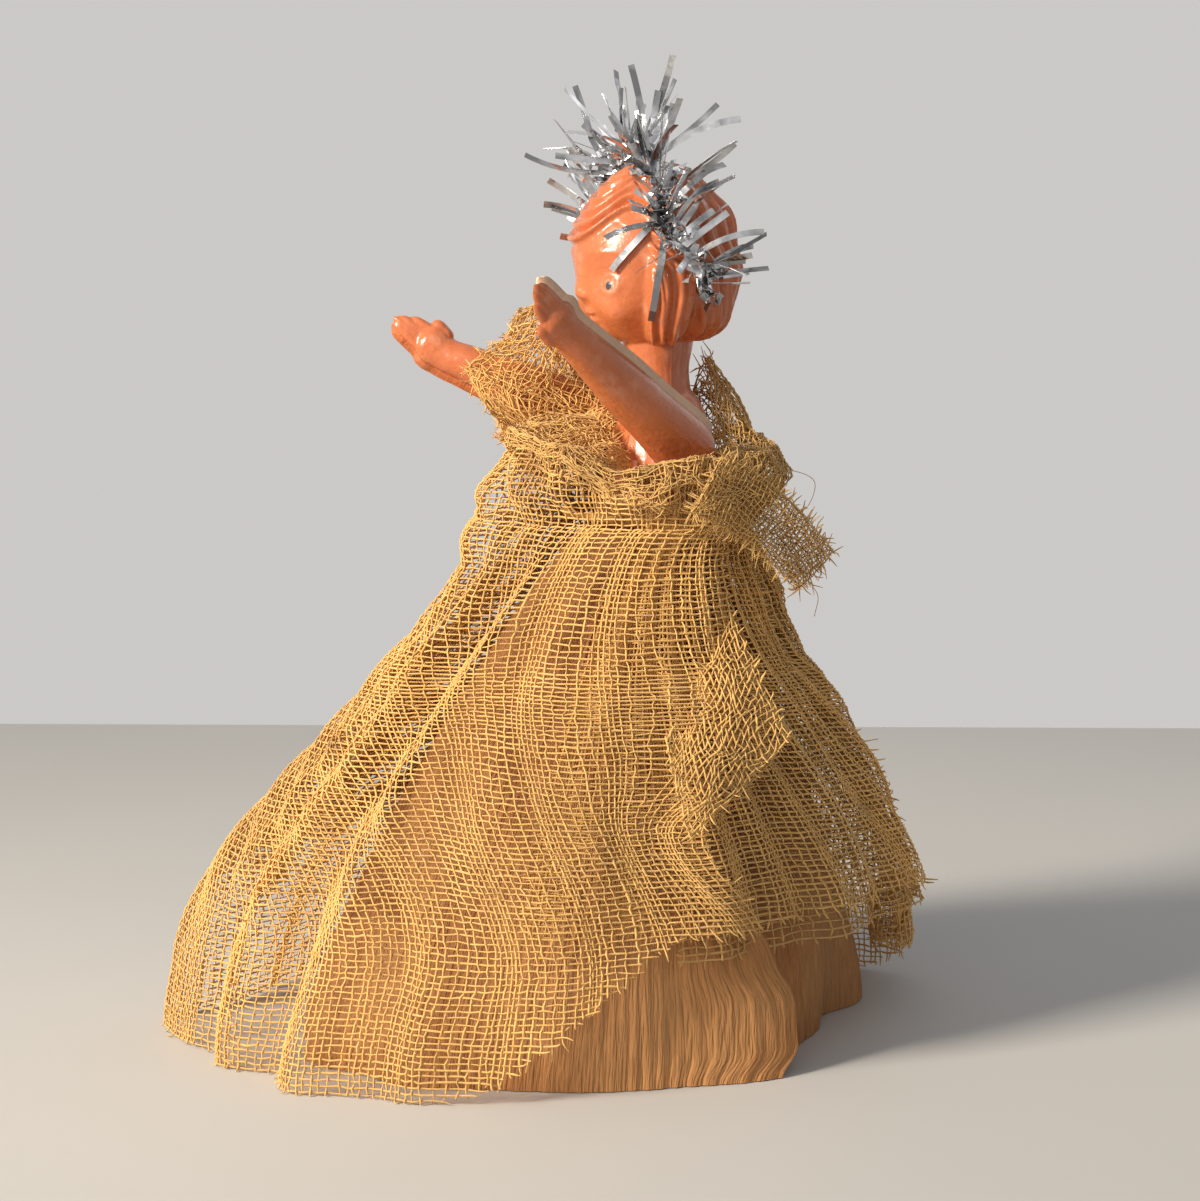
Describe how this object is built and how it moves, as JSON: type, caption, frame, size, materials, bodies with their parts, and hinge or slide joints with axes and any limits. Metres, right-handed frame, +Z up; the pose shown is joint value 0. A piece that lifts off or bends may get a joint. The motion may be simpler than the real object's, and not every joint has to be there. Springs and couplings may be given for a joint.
{
  "type": "fairy tree topper",
  "caption": "Moulded doll fairy in a flared gauze gown over a crepe underskirt, with turning arms and a tinsel crown, to set on a tree's top shoot.",
  "frame": {"origin": "on the floor under the joined soles of the doll, on the axis of its legs", "axes": "+Z up, -Y the way the doll faces, +X to the doll's left"},
  "size_m": [0.0953, 0.1368, 0.1676],
  "materials": {
    "doll_plastic": "glossy hard plastic with small mould dimples",
    "elastic": "matt covered elastic",
    "crepe_paper": "finely crinkled crepe",
    "gauze": "stiff open weave with frayed edges",
    "thread": "twisted cotton",
    "wire": "dull drawn wire",
    "foil": "crinkled bright foil"
  },
  "bodies": {
    "root": {"body_front_half": "doll_plastic", "body_back_half": "doll_plastic", "shoulder_elastic": "elastic", "crepe_underskirt": "crepe_paper", "gauze_skirt": "gauze", "waist_thread": "thread", "gauze_shawl": "gauze", "crown_wire": "wire", "crown_tinsel_right_side": "foil", "crown_tinsel_right_top": "foil", "crown_tinsel_left_top": "foil", "crown_tinsel_left_side": "foil"},
    "left_arm": {"left_arm_outer_half": "doll_plastic", "left_arm_inner_half": "doll_plastic"},
    "right_arm": {"right_arm_outer_half": "doll_plastic", "right_arm_inner_half": "doll_plastic", "right_sleeve": "gauze"}
  },
  "joints": [
    {"name": "left_shoulder", "type": "hinge", "parent": "root", "child": "left_arm", "pos_m": [0.0129, 0, 0.103], "axis": [-1, 0, 0], "range_deg": [-24, 45]},
    {"name": "right_shoulder", "type": "hinge", "parent": "root", "child": "right_arm", "pos_m": [-0.0129, 0, 0.103], "axis": [-1, 0, 0], "range_deg": [-12, 20]}
  ]
}
